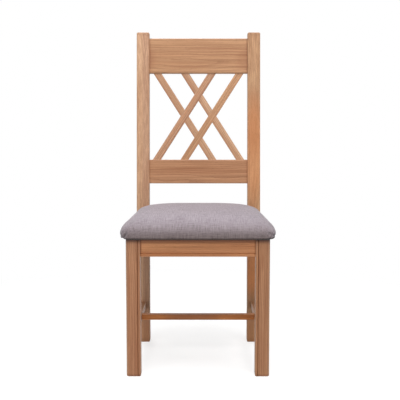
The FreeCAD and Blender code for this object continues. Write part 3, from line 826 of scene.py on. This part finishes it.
class Repeat(Finish):
    # geometry nodes that set one shape down at every point of a mesh
    def __init__(self, name):
        self.tree = bpy.data.node_groups.new(name, "GeometryNodeTree")
        self.keys = {}
        for label, kind in (("Places", "NodeSocketGeometry"), ("Shape", "NodeSocketObject"),
                            ("Spin", "NodeSocketFloat"), ("Seed", "NodeSocketInt"), ("Finish", "NodeSocketMaterial")):
            socket = self.tree.interface.new_socket(label, in_out="INPUT", socket_type=kind)
            self.keys[label] = socket.identifier
        self.tree.interface.new_socket("Pieces", in_out="OUTPUT", socket_type="NodeSocketGeometry")
        entry = self.tree.nodes.new("NodeGroupInput")
        given = {label: Value(self, entry.outputs[label]) for label in self.keys}
        shape = self.node("GeometryNodeObjectInfo", {}, {"Object": given["Shape"]}, "Geometry")
        turn = self.node("GeometryNodeInputNamedAttribute", {"data_type": "FLOAT_VECTOR"}, {"Name": "turn"})
        placed = self.node("GeometryNodeInstanceOnPoints", {},
                           {"Points": given["Places"], "Instance": shape, "Rotation": self.rotation(turn)})
        # each is also turned a little, or all the way, about its own axis
        chance = self.node("FunctionNodeRandomValue", {"data_type": "FLOAT"},
                           {2: given["Spin"] * -1, 3: given["Spin"], "Seed": given["Seed"]}, 1)
        spin = self.node("ShaderNodeCombineXYZ", {}, {"Z": chance})
        turned = self.node("GeometryNodeRotateInstances", {}, {"Instances": placed, "Rotation": self.rotation(spin)})
        real = self.node("GeometryNodeRealizeInstances", {}, {"Geometry": turned})
        done = self.node("GeometryNodeSetMaterial", {}, {"Geometry": real, "Material": given["Finish"]})
        self.tree.links.new(done.socket, self.tree.nodes.new("NodeGroupOutput").inputs["Pieces"])

    def rotation(self, angles):
        return self.node("FunctionNodeEulerToRotation", {}, {"Euler": angles})

    def lay(self, name, shape, spots, spin, seed, material):
        # spots are pairs of a place and its Euler angles
        data = bpy.data.meshes.new(name)
        data.from_pydata([place for place, turn in spots], [], [])
        turns = data.attributes.new("turn", "FLOAT_VECTOR", "POINT")
        for i, (place, turn) in enumerate(spots):
            turns.data[i].vector = turn
        piece = addPiece(name, data)
        modifier = piece.modifiers.new("repeat", "NODES")
        modifier.node_group = self.tree
        for label, value in (("Shape", shape), ("Spin", spin), ("Seed", seed), ("Finish", material)):
            modifier[self.keys[label]] = value
        bake(piece)
        bpy.data.objects.remove(shape)
        return piece


def bodies(name):
    # lowest and highest corner of every loose body of a CAD node, with its points
    mesh = bmesh.new()
    mesh.from_mesh(nodes[name].data)
    bmesh.ops.remove_doubles(mesh, verts=mesh.verts, dist=1e-6)
    mesh.verts.index_update()
    seen, found = set(), []
    for start in mesh.verts:
        if start.index in seen:
            continue
        seen.add(start.index)
        reached = [start]
        for vertex in reached:
            for edge in vertex.link_edges:
                other = edge.other_vert(vertex)
                if other.index not in seen:
                    seen.add(other.index)
                    reached.append(other)
        points = [v.co.copy() for v in reached]
        low, high = (Vector([end(p[i] for p in points) for i in range(3)]) for end in (min, max))
        found.append((low, high, points))
    mesh.free()
    return found


def screwSpots(name):
    # top of each head, the turn that points Z down the shank, and the screw's full length
    spots = []
    for low, high, points in bodies(name):
        middle = (low + high) / 2
        axis = max(range(3), key=lambda i: high[i] - low[i])
        ends = []
        for level in (low[axis], high[axis]):
            widest = max((p - middle).length for p in points if abs(p[axis] - level) < 0.0005)
            ends.append((widest, level))
        top = middle.copy()
        top[axis] = max(ends)[1]
        aim = middle - top
        spots.append((top, aim.to_track_quat("Z", "Y").to_euler()))
    return spots, high[axis] - low[axis]


fastenerLook = {
    "head": 0.00425,
    "headHeight": 0.0028,
    "shank": 0.00225,
    "recessArm": 0.0025,
    "recessHalf": 0.00062,
    "recessDepth": 0.0016,
    "wire": 0.0004,
    "crownHalf": 0.0046,
    "bend": 0.0008,
    "stapleSpin": 0.08,      # how far a staple may be turned, in radians
    "zinc": (colour(212, 205, 186), colour(168, 158, 132), 0.32),
    "galvanised": (colour(206, 208, 210), colour(150, 152, 155), 0.35),
}


def screwShape(look, length):
    # pan head with a cross recess; the recess has as many corners as the head has sides
    def circle(radius):
        turns = [math.radians(30 * i - 15) for i in range(12)]
        return [(radius * math.cos(turn), radius * math.sin(turn)) for turn in turns]

    def recess(size):
        arm, half = look["recessArm"] * size, look["recessHalf"] * size
        corners = []
        for x, y in ((1, 0), (0, 1), (-1, 0), (0, -1)):
            corners += [(x * a - y * b, y * a + x * b) for a, b in ((arm, -half), (arm, half), (half, half))]
        return corners

    rings = [(recess(0.7), look["recessDepth"]), (recess(1.0), 0.0001), (circle(look["head"] * 0.72), 0.0),
             (circle(look["head"]), 0.0010), (circle(look["head"]), look["headHeight"]),
             (circle(look["shank"]), look["headHeight"]), (circle(look["shank"]), length - 0.006)]
    return addPiece("screw shape", ringMesh("screw shape", rings, (look["recessDepth"], length)))


def stapleShape(look, top):
    # round wire bent twice, with its crown down and its legs up
    reach, wire, bend = look["crownHalf"], look["wire"], look["bend"]
    path = [(-reach, top), (-reach, wire + bend), (-reach + bend * 0.3, wire + bend * 0.3), (-reach + bend, wire)]
    path += [(-x, z) for x, z in reversed(path)]
    mesh = bmesh.new()
    rows = []
    for i, (x, z) in enumerate(path):
        before, after = path[max(i - 1, 0)], path[min(i + 1, len(path) - 1)]
        run = Vector((after[0] - before[0], 0, after[1] - before[1])).normalized()
        out = Vector((run.z, 0, -run.x))
        turns = [math.radians(60 * k) for k in range(6)]
        rows.append([mesh.verts.new(Vector((x, 0, z)) + (out * math.cos(t) + Vector((0, math.sin(t), 0))) * wire)
                     for t in turns])
    for lower, upper in zip(rows, rows[1:]):
        for k in range(6):
            mesh.faces.new((lower[k], lower[(k + 1) % 6], upper[(k + 1) % 6], upper[k]))
    mesh.faces.new(rows[0])
    mesh.faces.new(rows[-1])
    bmesh.ops.recalc_face_normals(mesh, faces=mesh.faces)
    return addPiece("staple shape", meshData("staple shape", mesh))


def finishFastener(piece, node):
    for face in piece.data.polygons:
        face.use_smooth = False
    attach(piece, "root")
    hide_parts(node)


zinc = steel("zinc plated steel", *fastenerLook["zinc"])
wire = steel("galvanised wire", *fastenerLook["galvanised"])
repeats = Repeat("repeat a shape")
for seed, name in enumerate(("block_screws", "seat_screws")):
    spots, length = screwSpots(name)
    screws = repeats.lay("visible_" + name, screwShape(fastenerLook, length), spots, math.pi, seed + 5, zinc)
    finishFastener(screws, name)
loose = bodies("dust_cover_staples")
spots = [(Vector(((low.x + high.x) / 2, (low.y + high.y) / 2, low.z)),
          (0, 0, 0 if high.x - low.x > high.y - low.y else math.pi / 2)) for low, high, points in loose]
shape = stapleShape(fastenerLook, loose[0][1].z - loose[0][0].z)
staples = repeats.lay("wire_staples", shape, spots, fastenerLook["stapleSpin"], 3, wire)
finishFastener(staples, "dust_cover_staples")
print("screws and staples laid:", len(spots), "staples")


studioLook = {
    "floorHalf": 14.0,
    "floorGrey": (0.55, 0.55, 0.55, 1),
    "floorLift": 0.72,       # light of the floor's own, for the camera alone
    "fade": (0.7, 1.5),      # the floor turns plain white between these distances
    "fill": 0.08,            # strength of the light from all round
}
white = (1, 1, 1, 1)


def makeStudio():
    look = studioLook
    mesh = bmesh.new()
    corners = ((-1, -1), (1, -1), (1, 1), (-1, 1))
    mesh.faces.new([mesh.verts.new((x * look["floorHalf"], y * look["floorHalf"], 0)) for x, y in corners])
    floor = addPiece("floor", meshData("floor", mesh))
    f = Finish("pale floor")
    seen = f.seenRay()
    where = f.node("ShaderNodeTexCoord", {}, {}, "Object")
    away = f.node("ShaderNodeVectorMath", {"operation": "LENGTH"}, {0: where}, "Value")
    lit = f.node("ShaderNodeBsdfDiffuse", {}, {"Color": look["floorGrey"]})
    lift = f.node("ShaderNodeEmission", {}, {"Color": white, "Strength": seen * look["floorLift"]})
    near = f.node("ShaderNodeAddShader", {}, {0: lit, 1: lift})
    far = f.node("ShaderNodeEmission", {}, {"Color": white, "Strength": 1.0})
    f.finish(f.node("ShaderNodeMixShader", {}, {0: seen * away.ramp(*look["fade"]), 1: near, 2: far}))
    floor.data.materials.append(f.material)

    world = bpy.data.worlds.new("studio")
    bpy.context.scene.world = world
    w = Finish("studio", world)
    seen = w.seenRay()
    soft = w.node("ShaderNodeBackground", {}, {"Color": white, "Strength": look["fill"]})
    plain = w.node("ShaderNodeBackground", {}, {"Color": white, "Strength": 1.0})
    w.finish(w.node("ShaderNodeMixShader", {}, {0: seen, 1: soft, 2: plain}), "ShaderNodeOutputWorld")


lamps = {
    # place, what it looks at, size and power
    "sky box": ((0.1, -0.75, 2.9), (0, -0.1, 0.5), (2.2, 1.6), 59),
    "front box": ((0.15, -2.4, 2.35), (0, 0, 0.5), (1.4, 0.9), 22),
    "left box": ((-2.0, -2.6, 0.28), (0, 0, 0.30), (0.6, 0.6), 15),
    "right box": ((2.0, -2.6, 0.28), (0, 0, 0.30), (0.6, 0.6), 15),
    "back box": ((-0.8, 2.2, 2.6), (0, 0, 0.6), (1.8, 1.8), 30),
}


def addLamp(name, place, target, size, power):
    lamp = bpy.data.lights.new(name, "AREA")
    lamp.shape = "RECTANGLE"
    lamp.size, lamp.size_y = size
    lamp.energy = power
    holder = bpy.data.objects.new(name, lamp)
    holder.location = place
    holder.rotation_euler = (Vector(target) - Vector(place)).to_track_quat("-Z", "Y").to_euler()
    bpy.context.scene.collection.objects.link(holder)


cameraLook = {
    "place": (0.0121, -2.9374, 0.813),
    "pitch": 0.106,          # radians below the horizon
    "yaw": 0.0022,
    "lens": 84.26,
    "sensor": 36.0,
}


def addCamera(look):
    camera = bpy.data.cameras.new("camera")
    camera.lens = look["lens"]
    camera.sensor_width = look["sensor"]
    holder = bpy.data.objects.new("camera", camera)
    holder.location = look["place"]
    holder.rotation_euler = (math.pi / 2 - look["pitch"], 0, look["yaw"])
    bpy.context.scene.collection.objects.link(holder)
    bpy.context.scene.camera = holder


makeStudio()
for name, lamp in lamps.items():
    addLamp(name, *lamp)
addCamera(cameraLook)
bpy.context.scene.view_settings.view_transform = "Standard"
print("studio set")
